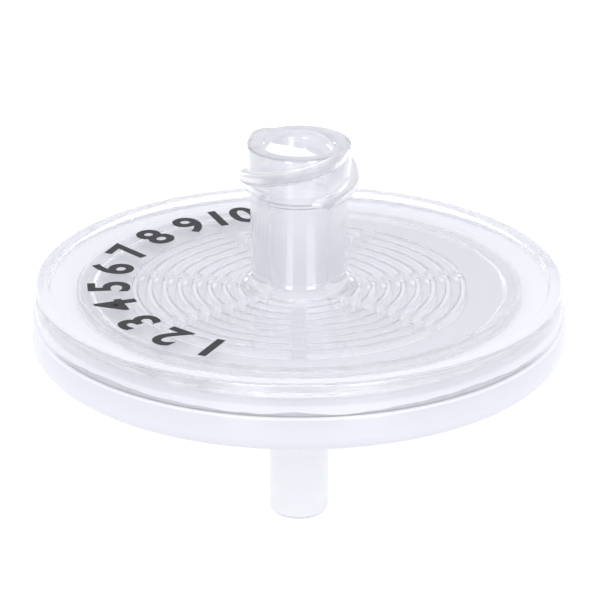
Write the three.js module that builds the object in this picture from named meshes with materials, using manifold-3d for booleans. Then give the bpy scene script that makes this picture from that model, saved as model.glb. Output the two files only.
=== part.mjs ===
// Syringe filter of the 33 mm class, in millimetres, +Z up.
// The origin is the centre of the inlet's mouth. The inlet points up, the outlet points down.
//
// Three pieces, stacked along Z and welded round the edge:
//   inlet_housing   clear half: female luer lock, stem, plate with ribs underneath, raised rim
//   membrane        thin disc pinched between the two halves
//   outlet_housing  milky half: drain ribs, deep edge band, male luer slip
import * as THREE from "three";
import { mergeVertices, toCreasedNormals } from "three/addons/utils/BufferGeometryUtils.js";
import Module from "manifold-3d";

// Female luer lock. The socket's taper is 6 percent on the diameter, so 3 percent on the radius.
const HEAD_RADIUS = 3.36;
const HEAD_LENGTH = 3.36;
const MOUTH_RADIUS = 2.15;
const MOUTH_ROUNDING = 0.7;
const LUER_TAPER = 0.03;
const SOCKET_DEPTH = 9;

// Two-start right-hand thread round the head.
const THREAD_STARTS = 2;
const THREAD_LEAD = 5.0;
const THREAD_HEIGHT = 0.54;
const THREAD_BASE_WIDTH = 1.2;
const THREAD_CREST_WIDTH = 0.5;
const THREAD_FIRST_ANGLE = -81;
const THREAD_TURN = 250;
const THREAD_RUN_IN = 25;
const THREAD_RUN_OUT = 45;

// Stem between the head and the plate.
const STEM_RADIUS = 3.14;
const STEM_FOOT_ROUNDING = 1.4;
const INLET_LENGTH = 9.5;
const INLET_BORE_RADIUS = 1.25;

// Clear plate and rim. The flange is the ring outside the membrane's pocket, where the halves are welded.
const FLANGE_WIDTH = 2.72;
const RIM_WIDTH = 0.92;
const RIM_HEIGHT = 0.4;
const RIM_ROUNDING = 0.2;
const BAND_WIDTH = 1.8;
const BAND_DEPTH = 0.2;
const PLATE_THICKNESS = 1.05;
const CLEAR_EDGE_HEIGHT = 2.25;
const SEAM_CHAMFER = 0.15;

// Ribs under the plate and on the drain, cut through by radial channels.
// As many as fit between the first rib and the smooth ring at the chamber's wall.
const FIRST_RIB_RADIUS = 2.86;
const SMOOTH_WIDTH = 2.5;
const RIB_PITCH = 0.97;
const RIB_WIDTH = 0.42;
const RIB_DRAFT = 0.03;
const CHANNEL_COUNT = 7;
const CHANNEL_WIDTH = 0.95;
const FRONT_ANGLE = -90;

// Filter chamber, from the plate down.
const INLET_RIB_HEIGHT = 0.4;
const RIB_TO_MEMBRANE = 0.1;
const MEMBRANE_RADIUS = 14.2;
const MEMBRANE_THICKNESS = 0.2;
const PINCH_WIDTH = 0.8;
const EDGE_CLEARANCE = 0.2;
const DRAIN_DEPTH = 0.6;

// Milky half.
const SKIRT_OVERHANG = 0.25;
const SKIRT_HEIGHT = 2.4;
const SKIRT_WALL = 1.5;
const SKIRT_ROUNDING = 1.0;
const LEDGE_ROUNDING = 0.12;
const FLOOR_THICKNESS = 1.2;

// Male luer slip.
const OUTLET_LENGTH = 12.0;
const OUTLET_ROOT_RADIUS = 2.06;
const OUTLET_TIP_RADIUS = 1.97;
const OUTLET_TIP_ROUNDING = 0.5;
const OUTLET_FOOT_ROUNDING = 0.8;
const OUTLET_BORE_RADIUS = 1.05;
const FUNNEL_RADIUS = 2;

// How finely round shapes are divided, and how deep a joined piece sinks into what carries it.
// RIB_SAG is how far the middle of a rib's facet may lie inside the true circle.
const FACETS = 56;
const RIB_SAG = 0.045;
const FILLET_STEPS = 2;
const BITE = 0.2;
const WELD_TOLERANCE = 1e-4;
const CREASE = 0.6;

// Heights, each worked out from the one above it.
const MOUTH_Z = 0;
const HEAD_FOOT_Z = MOUTH_Z - HEAD_LENGTH;
const PLATE_TOP_Z = MOUTH_Z - INLET_LENGTH;
const BAND_Z = PLATE_TOP_Z - BAND_DEPTH;
const RIM_TOP_Z = BAND_Z + RIM_HEIGHT;
const SEAM_Z = RIM_TOP_Z - CLEAR_EDGE_HEIGHT;
const CEILING_Z = PLATE_TOP_Z - PLATE_THICKNESS;
const INLET_RIB_Z = CEILING_Z - INLET_RIB_HEIGHT;
const MEMBRANE_TOP_Z = INLET_RIB_Z - RIB_TO_MEMBRANE;
const SEAT_Z = MEMBRANE_TOP_Z - MEMBRANE_THICKNESS;
const DRAIN_Z = SEAT_Z - DRAIN_DEPTH;
const UNDERSIDE_Z = DRAIN_Z - FLOOR_THICKNESS;
const SKIRT_FOOT_Z = SEAM_Z - SKIRT_HEIGHT;
const TIP_Z = SKIRT_FOOT_Z - OUTLET_LENGTH;

// Radii that follow from the ones above, from the membrane outwards.
const SOCKET_END_RADIUS = MOUTH_RADIUS - LUER_TAPER * SOCKET_DEPTH;
const CHAMBER_RADIUS = MEMBRANE_RADIUS - PINCH_WIDTH;
const RIB_COUNT = 1 + Math.floor((CHAMBER_RADIUS - SMOOTH_WIDTH - FIRST_RIB_RADIUS) / RIB_PITCH);
const POCKET_RADIUS = MEMBRANE_RADIUS + EDGE_CLEARANCE;
const RIM_RADIUS = POCKET_RADIUS + FLANGE_WIDTH;
const RIM_INNER_RADIUS = RIM_RADIUS - RIM_WIDTH;
const BAND_INNER_RADIUS = RIM_INNER_RADIUS - BAND_WIDTH;
const SKIRT_RADIUS = RIM_RADIUS + SKIRT_OVERHANG;
const SKIRT_INNER_RADIUS = SKIRT_RADIUS - SKIRT_WALL;

const wasm = await Module();
wasm.setup();

const radians = THREE.MathUtils.degToRad;

// A closed mesh as a solid that can be joined and cut.
function solid(geometry) {
  geometry.deleteAttribute("normal");
  geometry.deleteAttribute("uv");
  const welded = mergeVertices(geometry, WELD_TOLERANCE);
  return new wasm.Manifold(
    new wasm.Mesh({
      numProp: 3,
      vertProperties: welded.getAttribute("position").array,
      triVerts: new Uint32Array(welded.index.array),
    }),
  );
}

function geometryOf(body) {
  const mesh = body.getMesh();
  const geometry = new THREE.BufferGeometry();
  geometry.setAttribute("position", new THREE.BufferAttribute(mesh.vertProperties, 3));
  geometry.setIndex(new THREE.BufferAttribute(mesh.triVerts, 1));
  return toCreasedNormals(geometry, CREASE);
}

function joined(bodies) {
  return bodies.reduce((whole, body) => whole.add(body));
}

// Turns a closed outline of (radius, height) about Z. An anticlockwise outline gives faces that point out.
function revolved(outline, facets) {
  const points = outline.closePath().getPoints(FILLET_STEPS);
  if (THREE.ShapeUtils.isClockWise(points)) points.reverse();
  return solid(new THREE.LatheGeometry(points, facets).rotateX(Math.PI / 2));
}

// Adds an arc to an outline, between two angles in degrees: rising angles turn anticlockwise.
function arc(outline, radius, height, rounding, from, to) {
  outline.absarc(radius, height, rounding, radians(from), radians(to), to < from);
}

function around(count, firstAngle, make) {
  return Array.from({ length: count }, (_, i) => make(firstAngle + (360 / count) * i));
}

// One start of the thread: its section is drawn straight, then wound round the head.
// It grows out of the head over the run-in and sinks back into it over the run-out.
function threadStart(firstAngle) {
  const halfBase = THREAD_BASE_WIDTH / 2;
  const halfCrest = THREAD_CREST_WIDTH / 2;
  const section = new THREE.Shape();
  section.moveTo(-BITE, -halfBase);
  section.lineTo(0, -halfBase);
  section.lineTo(THREAD_HEIGHT, -halfCrest);
  section.lineTo(THREAD_HEIGHT, halfCrest);
  section.lineTo(0, halfBase);
  section.lineTo(-BITE, halfBase);

  const steps = Math.round((THREAD_TURN / 360) * FACETS);
  const strip = new THREE.ExtrudeGeometry(section, { depth: THREAD_TURN, steps, bevelEnabled: false });
  const points = strip.getAttribute("position");
  for (let i = 0; i < points.count; i++) {
    const past = THREAD_TURN - points.getZ(i);
    const angle = radians(firstAngle + past);
    const grown = Math.min(1, past / THREAD_RUN_IN, (THREAD_TURN - past) / THREAD_RUN_OUT);
    const out = points.getX(i) > 0 ? points.getX(i) * grown : points.getX(i);
    const radius = HEAD_RADIUS + out;
    const height = HEAD_FOOT_Z + (THREAD_LEAD * past) / 360 + points.getY(i);
    points.setXYZ(i, radius * Math.cos(angle), radius * Math.sin(angle), height);
  }
  return solid(strip);
}

// The thread ends flush with the mouth and with the foot of the head.
function luerThread() {
  const inner = HEAD_RADIUS - 2 * BITE;
  const outer = HEAD_RADIUS + 2 * THREAD_HEIGHT;
  const sleeve = new THREE.Path();
  sleeve.moveTo(inner, HEAD_FOOT_Z);
  sleeve.lineTo(outer, HEAD_FOOT_Z);
  sleeve.lineTo(outer, MOUTH_Z);
  sleeve.lineTo(inner, MOUTH_Z);
  const starts = around(THREAD_STARTS, THREAD_FIRST_ANGLE, threadStart);
  return joined(starts).intersect(revolved(sleeve, FACETS));
}

// One ring of rib, wider at its root by the draft.
function ribRing(middle, rootZ, crestZ) {
  const halfRoot = RIB_WIDTH / 2;
  const halfCrest = halfRoot - RIB_DRAFT;
  const section = new THREE.Path();
  section.moveTo(middle - halfRoot, rootZ);
  section.lineTo(middle - halfCrest, crestZ);
  section.lineTo(middle + halfCrest, crestZ);
  section.lineTo(middle + halfRoot, rootZ);
  return section;
}

// Concentric ribs between two heights, cut through by the radial channels.
function ribs(rootZ, crestZ) {
  const tall = Math.abs(crestZ - rootZ);
  const reach = FIRST_RIB_RADIUS + RIB_PITCH * RIB_COUNT;
  const rings = Array.from({ length: RIB_COUNT }, (_, i) => {
    const middle = FIRST_RIB_RADIUS + RIB_PITCH * i;
    const section = ribRing(middle, rootZ, crestZ);
    return revolved(section, Math.round(Math.PI / Math.acos(1 - RIB_SAG / middle)));
  });
  const channels = around(CHANNEL_COUNT, FRONT_ANGLE, (angle) => {
    const slot = new THREE.BoxGeometry(reach, CHANNEL_WIDTH, 2 * tall);
    slot.translate(reach / 2, 0, (rootZ + crestZ) / 2);
    return solid(slot.rotateZ(radians(angle)));
  });
  return joined(rings).subtract(joined(channels));
}

// Clear half, outlined from the mouth outwards, down the rim and back under the plate.
function inletHousing() {
  const outline = new THREE.Path();
  outline.moveTo(MOUTH_RADIUS, MOUTH_Z - MOUTH_ROUNDING);
  arc(outline, MOUTH_RADIUS + MOUTH_ROUNDING, MOUTH_Z - MOUTH_ROUNDING, MOUTH_ROUNDING, 180, 90);
  outline.lineTo(HEAD_RADIUS, MOUTH_Z);
  outline.lineTo(HEAD_RADIUS, HEAD_FOOT_Z);
  outline.lineTo(STEM_RADIUS, HEAD_FOOT_Z);
  const footRadius = STEM_RADIUS + STEM_FOOT_ROUNDING;
  arc(outline, footRadius, PLATE_TOP_Z + STEM_FOOT_ROUNDING, STEM_FOOT_ROUNDING, 180, 270);
  outline.lineTo(BAND_INNER_RADIUS - BAND_DEPTH, PLATE_TOP_Z);
  outline.lineTo(BAND_INNER_RADIUS, BAND_Z);
  outline.lineTo(RIM_INNER_RADIUS, BAND_Z);
  outline.lineTo(RIM_INNER_RADIUS, RIM_TOP_Z);
  arc(outline, RIM_RADIUS - RIM_ROUNDING, RIM_TOP_Z - RIM_ROUNDING, RIM_ROUNDING, 90, 0);
  outline.lineTo(RIM_RADIUS, SEAM_Z + SEAM_CHAMFER);
  outline.lineTo(RIM_RADIUS - SEAM_CHAMFER, SEAM_Z);
  outline.lineTo(POCKET_RADIUS, SEAM_Z);
  outline.lineTo(POCKET_RADIUS, MEMBRANE_TOP_Z);
  outline.lineTo(CHAMBER_RADIUS, MEMBRANE_TOP_Z);
  outline.lineTo(CHAMBER_RADIUS, CEILING_Z);
  outline.lineTo(FUNNEL_RADIUS, CEILING_Z);
  outline.lineTo(INLET_BORE_RADIUS, CEILING_Z + FUNNEL_RADIUS - INLET_BORE_RADIUS);
  outline.lineTo(INLET_BORE_RADIUS, MOUTH_Z - SOCKET_DEPTH);
  outline.lineTo(SOCKET_END_RADIUS, MOUTH_Z - SOCKET_DEPTH);
  return joined([
    revolved(outline, FACETS),
    luerThread(),
    ribs(CEILING_Z + BITE, INLET_RIB_Z),
  ]);
}

// Thin disc that lies on the seat and the drain ribs.
function membrane() {
  const disc = new THREE.CylinderGeometry(MEMBRANE_RADIUS, MEMBRANE_RADIUS, MEMBRANE_THICKNESS, FACETS);
  disc.rotateX(Math.PI / 2);
  return solid(disc.translate(0, 0, (MEMBRANE_TOP_Z + SEAT_Z) / 2));
}

// Milky half, outlined from the drain outwards, down the skirt, back under the floor and down the slip.
function outletHousing() {
  const outline = new THREE.Path();
  outline.moveTo(FUNNEL_RADIUS, DRAIN_Z);
  outline.lineTo(CHAMBER_RADIUS, DRAIN_Z);
  outline.lineTo(CHAMBER_RADIUS, SEAT_Z);
  outline.lineTo(MEMBRANE_RADIUS, SEAT_Z);
  outline.lineTo(MEMBRANE_RADIUS, SEAM_Z);
  arc(outline, SKIRT_RADIUS - LEDGE_ROUNDING, SEAM_Z - LEDGE_ROUNDING, LEDGE_ROUNDING, 90, 0);
  const roundRadius = SKIRT_RADIUS - SKIRT_ROUNDING;
  arc(outline, roundRadius, SKIRT_FOOT_Z + SKIRT_ROUNDING, SKIRT_ROUNDING, 0, -90);
  outline.lineTo(SKIRT_INNER_RADIUS, SKIRT_FOOT_Z);
  outline.lineTo(SKIRT_INNER_RADIUS, UNDERSIDE_Z);
  const footRadius = OUTLET_ROOT_RADIUS + OUTLET_FOOT_ROUNDING;
  arc(outline, footRadius, UNDERSIDE_Z - OUTLET_FOOT_ROUNDING, OUTLET_FOOT_ROUNDING, 90, 180);
  const tipRadius = OUTLET_TIP_RADIUS - OUTLET_TIP_ROUNDING;
  arc(outline, tipRadius, TIP_Z + OUTLET_TIP_ROUNDING, OUTLET_TIP_ROUNDING, 0, -90);
  outline.lineTo(OUTLET_BORE_RADIUS, TIP_Z);
  outline.lineTo(OUTLET_BORE_RADIUS, DRAIN_Z - FUNNEL_RADIUS + OUTLET_BORE_RADIUS);
  return joined([revolved(outline, FACETS), ribs(DRAIN_Z - BITE, SEAT_Z)]);
}

function piece(name, body, material) {
  const mesh = new THREE.Mesh(geometryOf(body), material);
  mesh.name = name;
  return mesh;
}

const clearPlastic = new THREE.MeshStandardMaterial({
  color: 0xe4e5f0,
  roughness: 0.08,
  metalness: 0,
  transparent: true,
  opacity: 0.45,
});
const milkyPlastic = new THREE.MeshStandardMaterial({
  color: 0xf0f2fc,
  roughness: 0.35,
  metalness: 0,
  transparent: true,
  opacity: 0.9,
});
const whiteMembrane = new THREE.MeshStandardMaterial({
  color: 0xf6f6fa,
  roughness: 0.85,
  metalness: 0,
});

const syringeFilter = new THREE.Group();
syringeFilter.add(
  piece("inlet_housing", inletHousing(), clearPlastic),
  piece("membrane", membrane(), whiteMembrane),
  piece("outlet_housing", outletHousing(), milkyPlastic),
);

export default syringeFilter;
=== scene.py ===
"""Finish of a disc-shaped syringe filter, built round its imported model.

Lengths are in metres. MM turns a size in millimetres into metres. The mouth of the inlet is at the
origin, the inlet points up and the outlet points down.
"""

import math

import bmesh
import bpy
from mathutils import Matrix, Vector


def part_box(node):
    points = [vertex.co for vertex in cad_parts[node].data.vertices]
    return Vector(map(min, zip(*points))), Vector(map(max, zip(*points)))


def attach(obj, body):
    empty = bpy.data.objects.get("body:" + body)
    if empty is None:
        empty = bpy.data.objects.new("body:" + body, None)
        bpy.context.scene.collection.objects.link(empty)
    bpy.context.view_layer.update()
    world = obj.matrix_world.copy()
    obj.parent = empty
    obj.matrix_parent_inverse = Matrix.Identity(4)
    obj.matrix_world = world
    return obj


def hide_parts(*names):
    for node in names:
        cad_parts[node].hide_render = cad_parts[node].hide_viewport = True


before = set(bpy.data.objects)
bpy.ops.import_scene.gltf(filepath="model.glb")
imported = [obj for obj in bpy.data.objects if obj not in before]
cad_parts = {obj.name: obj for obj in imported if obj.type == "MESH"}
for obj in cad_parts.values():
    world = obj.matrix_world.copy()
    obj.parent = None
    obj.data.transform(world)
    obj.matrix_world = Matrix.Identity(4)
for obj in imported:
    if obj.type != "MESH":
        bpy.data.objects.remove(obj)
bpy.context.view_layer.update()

MM = 0.001
INLET_LOW, INLET_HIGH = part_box("inlet_housing")
MEMBRANE_LOW, MEMBRANE_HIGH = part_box("membrane")
OUTLET_LOW, OUTLET_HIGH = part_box("outlet_housing")

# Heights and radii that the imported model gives.
MOUTH_Z = INLET_HIGH.z
SEAM_Z = INLET_LOW.z
MEMBRANE_TOP_Z = MEMBRANE_HIGH.z
SEAT_Z = MEMBRANE_LOW.z
TIP_Z = OUTLET_LOW.z
RIM_RADIUS = INLET_HIGH.x
MEMBRANE_RADIUS = MEMBRANE_HIGH.x
SKIRT_RADIUS = OUTLET_HIGH.x

# Female luer lock and stem.
HEAD_RADIUS = 3.36 * MM
HEAD_LENGTH = 3.36 * MM
MOUTH_RADIUS = 2.15 * MM
MOUTH_ROUNDING = 0.6 * MM
LUER_TAPER = 0.03
SOCKET_DEPTH = 9.0 * MM
STEM_RADIUS = 3.14 * MM
STEM_FOOT_ROUNDING = 0.95 * MM
INLET_LENGTH = 9.5 * MM
INLET_BORE_RADIUS = 1.25 * MM
FUNNEL_RADIUS = 2.0 * MM

# Thread round the head.
THREAD_STARTS = 2
THREAD_LEAD = 5.0 * MM
THREAD_HEIGHT = 0.54 * MM
THREAD_BASE_WIDTH = 1.2 * MM
THREAD_CREST_WIDTH = 0.5 * MM
THREAD_ROUNDING = 0.25 * MM
THREAD_SINK = 0.06 * MM
THREAD_LEDGE = 0.12 * MM
THREAD_FIRST_ANGLE = -81
THREAD_TURN = 250
THREAD_RUN_IN = 25
THREAD_RUN_OUT = 45

# Clear plate, band and rim.
RIM_WIDTH = 0.92 * MM
RIM_HEIGHT = 0.4 * MM
BAND_WIDTH = 1.8 * MM
BAND_DEPTH = 0.2 * MM
PLATE_THICKNESS = 1.05 * MM

# Filter chamber.
PINCH_WIDTH = 0.8 * MM
EDGE_CLEARANCE = 0.2 * MM
INLET_RIB_HEIGHT = 0.4 * MM
DRAIN_DEPTH = 0.6 * MM
FLOOR_THICKNESS = 1.2 * MM

# Ribs and the channels that cut them.
RIB_COUNT = 9
FIRST_RIB_RADIUS = 2.86 * MM
RIB_PITCH = 0.97 * MM
RIB_WIDTH = 0.42 * MM
RIB_DRAFT = 0.03 * MM
CHANNEL_COUNT = 7
CHANNEL_WIDTH = 0.95 * MM
FRONT_ANGLE = -90

# Milky half.
SKIRT_HEIGHT = 2.4 * MM
SKIRT_WALL = 1.5 * MM
SKIRT_ROUNDING = 1.0 * MM
OUTLET_ROOT_RADIUS = 2.06 * MM
OUTLET_TIP_RADIUS = 1.97 * MM
OUTLET_TIP_ROUNDING = 0.5 * MM
OUTLET_FOOT_ROUNDING = 0.8 * MM
OUTLET_BORE_RADIUS = 1.05 * MM

# Printed digits: a row of plain numbers along an arc on the plate.
NUMBERS = range(1, 11)
PRINT_RADIUS = 12.2 * MM
DIGIT_HEIGHT = 2.7 * MM
DIGIT_WEIGHT = 0.09 * MM
DIGIT_ARC_STEPS = 6
CAPITAL_SHARE = 0.72
PRINT_START = -26
PRINT_END = -158
INK_GAP = 0.004 * MM
INK_THICKNESS = 0.02 * MM

# Small moulded edges, how finely round shapes are divided, and how far joined shapes overlap.
EDGE = 0.08 * MM
SOFT_EDGE = 0.14 * MM
CHAMBER_ROUNDING = 0.35 * MM
SEGMENTS = 256
FLOOR_SEGMENTS = 64
RIB_ROUNDING_STEPS = 3
THREAD_ROUNDING_STEPS = 5
ARC_STEP = math.radians(15)
STRAIGHT = math.radians(178)
SMOOTH_ANGLE = math.radians(32)
BITE = 0.2 * MM

# Heights and radii that follow.
HEAD_FOOT_Z = MOUTH_Z - HEAD_LENGTH
PLATE_TOP_Z = MOUTH_Z - INLET_LENGTH
BAND_Z = PLATE_TOP_Z - BAND_DEPTH
RIM_TOP_Z = BAND_Z + RIM_HEIGHT
CEILING_Z = PLATE_TOP_Z - PLATE_THICKNESS
DRAIN_Z = SEAT_Z - DRAIN_DEPTH
UNDERSIDE_Z = DRAIN_Z - FLOOR_THICKNESS
SKIRT_FOOT_Z = SEAM_Z - SKIRT_HEIGHT
SOCKET_END_RADIUS = MOUTH_RADIUS - LUER_TAPER * SOCKET_DEPTH
RIM_INNER_RADIUS = RIM_RADIUS - RIM_WIDTH
BAND_INNER_RADIUS = RIM_INNER_RADIUS - BAND_WIDTH
POCKET_RADIUS = MEMBRANE_RADIUS + EDGE_CLEARANCE
CHAMBER_RADIUS = MEMBRANE_RADIUS - PINCH_WIDTH

# Gaps that keep touching skins from lying in one another, and how near points count as one.
HAIR = 0.005 * MM
SAME_PLACE = 0.001 * MM

# Weld between the halves. Its waves are (how many go round, size, start angle), and the sizes of
# the first are shares of WELD_WANDER.
WELD_DEPTH = 0.01 * MM
WELD_RADIUS = RIM_RADIUS - 0.3 * MM
WELD_WANDER = 0.3 * MM
WELD_WAVES = ((3, 0.4, 0.6), (7, 0.3, 2.1), (16, 0.2, 4.4), (41, 0.1, 1.3))
BEAD_COVER = 0.06 * MM
BEAD_WIDTH = 0.06 * MM
BEAD_HEIGHT = 0.30 * MM
BEAD_WAVES = (
    (4, 0.14 * MM, math.pi),
    (9, 0.04 * MM, 1.0),
    (17, 0.03 * MM, 0.4),
    (44, 0.02 * MM, 2.2),
    (71, 0.01 * MM, 0.9),
)
BEAD_TONGUE = 0.16 * MM
BEAD_TONGUE_WIDTH = math.radians(4)

# Clear plastic. Colours are light values from 0 to 1.
PLASTIC_IOR = 1.49
PLATE_TINT = (0.97, 0.97, 0.985, 1)
PLATE_CLARITY = 0.8
PLATE_HAZE = 0.015
PLATE_COAT = 0.0
INLET_TINT = (0.905, 0.91, 0.93, 1)
INLET_CLARITY = 0.76
INLET_HAZE = 0.035
INLET_COAT = 0.6
# Painted shade: the thread is tinted darker than the rest of the clear plastic.
THREAD_SHADE = (0.62, 0.625, 0.65, 1)
THREAD_HAZE = 0.3
# Painted shade: dark lines on the mouth's edge and in the corner under the head.
MOUTH_EDGE_SHADE = (0.62, 0.62, 0.65, 1)
CORNER_SHADE = (0.42, 0.42, 0.45, 1)
CORNER_LINE = 0.09 * MM
CORE_ROUGHNESS = 0.5
CORE_DEPTH = 3.5 * MM
CORE_FADE = 0.15 * MM
STEP_HAZE = 0.35
RIM_HAZE = 0.2
RIM_HAZE_RADII = (BAND_INNER_RADIUS - 1.2 * MM, BAND_INNER_RADIUS + 0.3 * MM)
PLATE_WAVINESS = 0.15
RIM_WAVINESS = 0.8
CLEAR_BUMP = 0.006 * MM
CLEAR_MOTTLE = 0.03
COAT_ROUGHNESS = 0.05
CLEAR_SHADE = (0.98, 0.98, 0.99, 1)

# Milky plastic.
SKIRT_LIGHT = (0.91, 0.915, 0.97, 1)
SKIRT_DEEP = (0.895, 0.90, 0.955, 1)
SKIRT_CLARITY = 0.1
SKIRT_HAZE = 0.2
# Painted shade on the skirt, darker still towards its foot.
SKIRT_SHADE = (0.86, 0.862, 0.91, 1)
SKIRT_FOOT_SHADE = (0.69, 0.69, 0.74, 1)
# A painted highlight on the ledge under the seam, and painted light on the top face.
LEDGE_HIGHLIGHT = (0.97, 0.975, 1.0, 1)
LEDGE_LINE = 0.1 * MM
# Painted light: the outlet's colours are lighter, against the shade that the disc casts on it.
OUTLET_PAINTED_LIGHT = (0.98, 0.995, 1.0, 1)
OUTLET_PAINTED_DEEP = (0.97, 0.985, 1.0, 1)
OUTLET_CLARITY = 0.12
OUTLET_HAZE = 0.15
# Painted shade: a dark line on the rounding of the tip.
TIP_SHADE = (0.58, 0.58, 0.62, 1)
TIP_LINE = 0.5 * MM
MILKY_BUMP = 0.002 * MM
MILKY_MOTTLE = 0.05
MILKY_SHADE = (0.72, 0.72, 0.75, 1)

# Marks that moulding leaves. Sizes of waves and flow lines are in millimetres.
WAVE_SIZE = 3.0
FLOW_SIZE = 0.4
FLOW_SHARE = 0.06
MOTTLE_RANGE = (0.35, 0.7)

# Painted shade of the seam, on the melted plastic in the weld. It fades to milky at the sides,
# between these distances.
MELT_SHADE_DARK = (0.40, 0.40, 0.43, 1)
MELT_SHADE_PALE = (0.56, 0.565, 0.60, 1)
MELT_DARK_Z = SEAM_Z + 0.08 * MM
MELT_PALE_Z = SEAM_Z + 0.18 * MM
MELT_SIDES = (0.8 * RIM_RADIUS, 0.95 * RIM_RADIUS)
MELT_ROUGHNESS = 0.6
BLOTCHES_PER_MM = 3.0
BLOTCH_RANGE = (0.3, 0.6)
LEAST_PALE = 0.6

# Membrane, with painted light and shade from the ribs. The sides are where a mark fades in or out: 0
# is the middle and 1 is the far side.
FILM_LIGHT = (0.63, 0.635, 0.67, 1)
FILM_DEEP = (0.60, 0.605, 0.64, 1)
# Painted shade in the channels and along the rib edges, painted light under the ribs and at their
# ends.
FILM_CHANNEL_SHADE = (0.52, 0.525, 0.56, 1)
FILM_CREST_LIGHT = (0.80, 0.805, 0.84, 1)
FILM_EDGE_SHADE = (0.43, 0.43, 0.47, 1)
FILM_END_HIGHLIGHT = (0.95, 0.95, 0.98, 1)
FILM_ROUGHNESS = 0.9
FIBRES_PER_MM = 9.0
FIBRE_RANGE = (0.3, 0.7)
FIBRE_BUMP = 0.01 * MM
RIB_MARK = 0.1 * MM
MARK_GAP = 0.75 * MM
DASH_LENGTH = 0.72 * MM
DASH_WIDTH = 0.6 * MM
EDGE_SIDES = (0.2, 0.9)
EDGE_IN_FRONT = 0.85
DASH_SIDES = (0.2, 0.4)
END_SIDES = (0.7, 0.95)

# Ink.
INK_DEEP = (0.010, 0.010, 0.012, 1)
INK_THIN = (0.022, 0.022, 0.026, 1)
INK_ROUGHNESS = 0.35
INK_MOTTLE = 0.3
GRAINS_PER_MM = 7.0
GRAIN_RANGE = (0.35, 0.7)
GRAIN_BUMP = 0.01 * MM

# Camera.
CAMERA_SENSOR = 36
CAMERA_LENS = 207.84
CAMERA_NEAR = 10 * MM
CAMERA_DISTANCE = 225 * MM
CAMERA_ELEVATION = 22.22
CAMERA_AIM_Z = -9.86 * MM
CAMERA_SHIFT = (0.00167, -0.0245)

# Floor and sky. The sky changes with height and to the sides, from 0 to 1.
FLOOR_Z = TIP_Z - 240 * MM
FLOOR_RADIUS = 3.0
FLOOR_COLOUR = (0.93, 0.93, 0.94, 1)
FLOOR_GLOW = 0.32
FLOOR_SHOWN = 0.6
CARD_RADIUS = 0.25
CARD_FADE_RADIUS = 1.5 * CARD_RADIUS
WHITE = (1, 1, 1, 1)
SKY_ABOVE = (0.80, 0.805, 0.84, 1)
SKY_AROUND = (1.0, 1.005, 1.04, 1)
SKY_ASIDE = (0.72, 0.72, 0.75, 1)
SKY_MIRRORED = (0.74, 0.745, 0.78, 1)
SKY_HIGH = 0.7
SKY_SIDES = (0.45, 0.85)

# Lamps: name, azimuth and elevation in degrees, distance, size and power.
OVERHEAD_SOFTBOX = ("overhead_softbox", 180, 80, 0.6, (0.5, 0.5), 0.4)
FRONT_FILL = ("front_fill", 0, 66, 0.05, (0.03, 0.03), 0.005)
# These only show as reflections, so that they don't flatten the soft light.
REFLECTED_SOFTBOXES = (
    ("left_softbox", -22, 3, 0.5, (0.14, 0.27), 0.7),
    ("right_softbox", 28, 3, 0.5, (0.18, 0.27), 0.9),
    ("left_low_strip", -22, -24, 0.5, (0.12, 0.20), 0.05),
    ("right_low_strip", 28, -24, 0.5, (0.16, 0.20), 0.07),
    ("back_left_softbox", -150, 8, 0.5, (0.07, 0.10), 0.07),
    ("back_right_softbox", 150, 8, 0.5, (0.07, 0.10), 0.07),
)


# ---------------------------------------------------------------- outlines and turned shapes

def rounded(corners):
    """A closed outline of (radius, height, rounding) corners, each rounding drawn as an arc."""
    points = []
    for i, (r, z, rounding) in enumerate(corners):
        here = Vector((r, z))
        before = Vector(corners[i - 1][:2]) - here
        after = Vector(corners[(i + 1) % len(corners)][:2]) - here
        angle = before.angle(after)
        if rounding <= 0 or angle > STRAIGHT:
            points.append(here)
            continue
        reach = rounding / math.tan(angle / 2)
        middle = here + (before.normalized() + after.normalized()).normalized() * (
            rounding / math.sin(angle / 2)
        )
        start = here + before.normalized() * reach - middle
        turn = math.pi - angle
        if before.x * after.y - before.y * after.x > 0:
            turn = -turn
        steps = max(2, round(abs(turn) / ARC_STEP))
        for k in range(steps + 1):
            points.append(middle + Matrix.Rotation(turn * k / steps, 2) @ start)
    return points


def revolved(name, outline, segments=SEGMENTS):
    """Turns a closed outline about Z into a closed mesh. A point on the axis becomes one pole."""
    area = sum(a.x * b.y - b.x * a.y for a, b in zip(outline, outline[1:] + outline[:1]))
    if area < 0:
        outline = outline[::-1]
    vertices = []
    rings = []
    for p in outline:
        if p.x == 0:
            rings.append([len(vertices)] * segments)
            vertices.append((0, 0, p.y))
            continue
        rings.append(range(len(vertices), len(vertices) + segments))
        for k in range(segments):
            turn = 2 * math.pi * k / segments
            vertices.append((p.x * math.cos(turn), p.x * math.sin(turn), p.y))
    faces = []
    for low, high in zip(rings, rings[1:] + rings[:1]):
        for k in range(segments):
            n = (k + 1) % segments
            face = dict.fromkeys((low[k], low[n], high[n], high[k]))
            if len(face) > 2:
                faces.append(tuple(face))
    mesh = bpy.data.meshes.new(name)
    mesh.from_pydata(vertices, [], faces)
    mesh.update()
    return mesh


def placed(name, mesh):
    """Adds a mesh to the scene as an object at the origin."""
    piece = bpy.data.objects.new(name, mesh)
    bpy.context.scene.collection.objects.link(piece)
    return piece


def smoothed(mesh):
    """Shades a mesh smooth, apart from its sharp edges."""
    mesh.shade_smooth()
    mesh.set_sharp_from_angle(angle=SMOOTH_ANGLE)


# ---------------------------------------------------------------- node helpers

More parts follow.
